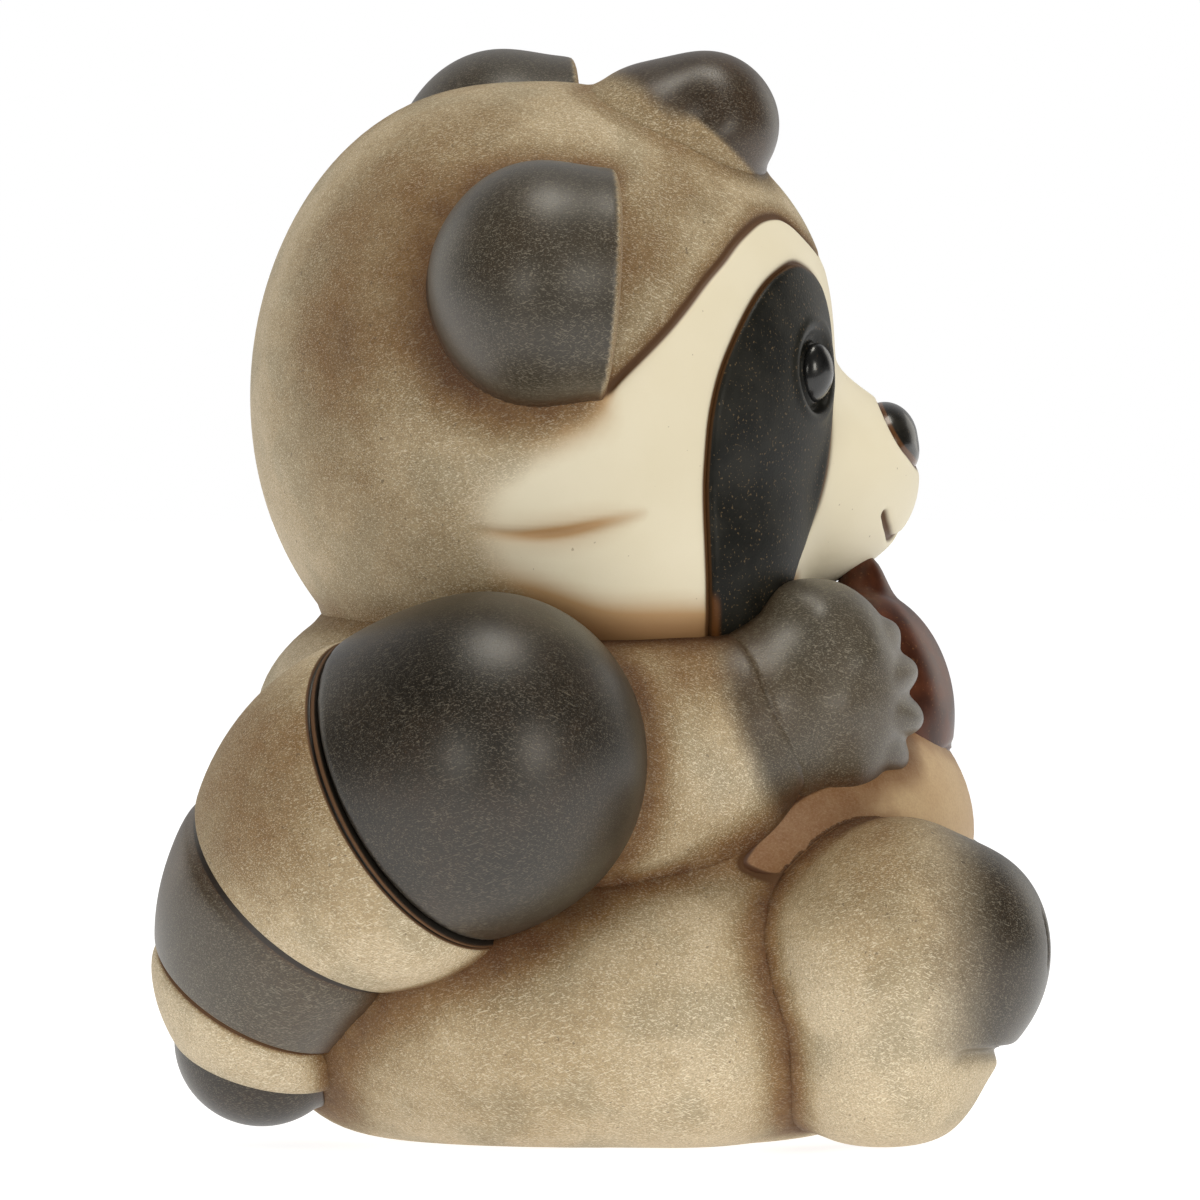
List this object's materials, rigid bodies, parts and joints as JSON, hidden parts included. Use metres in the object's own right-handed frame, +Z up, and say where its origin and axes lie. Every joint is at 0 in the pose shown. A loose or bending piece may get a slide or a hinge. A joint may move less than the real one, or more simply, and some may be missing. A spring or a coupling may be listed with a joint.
{
  "type": "ceramic raccoon figurine",
  "caption": "Seated slip-cast ceramic raccoon with a banded tail curled round its side, holding a chestnut under its chin; stands on a flat vented base.",
  "frame": {"origin": "middle of the figurine's bounding box, on the surface it stands on", "axes": "+Z up; the figurine faces -Y and its right side, with the tail, is -X"},
  "size_m": [0.0944, 0.0956, 0.1182],
  "materials": {
    "fur": "matt sprayed and sponged beige-brown with a fine speckle",
    "dark_fur": "matt to satin dark brown, airbrushed over the clay colour with a fine speckle",
    "mask": "satin near-black",
    "eye": "glossy black",
    "nose": "glossy black",
    "belly": "matt peach-cream with orange-brown stain at its edges",
    "chestnut": "glossy reddish brown"
  },
  "bodies": {
    "root": {"body": "fur", "belly_panel": "belly", "head": "fur", "right_eye_mask": "mask", "left_eye_mask": "mask", "right_eye": "eye", "left_eye": "eye", "nose": "nose", "right_ear": "dark_fur", "left_ear": "dark_fur", "forelock": "dark_fur", "chestnut": "chestnut", "tail_root": "dark_fur", "tail_band_pale_lower": "fur", "tail_band_dark": "dark_fur", "tail_band_pale_upper": "fur", "tail_tip": "dark_fur", "right_arm": "fur", "left_arm": "fur", "right_paw": "dark_fur", "left_paw": "dark_fur", "right_leg": "fur", "left_leg": "fur", "right_foot": "dark_fur", "left_foot": "dark_fur"}
  },
  "joints": []
}
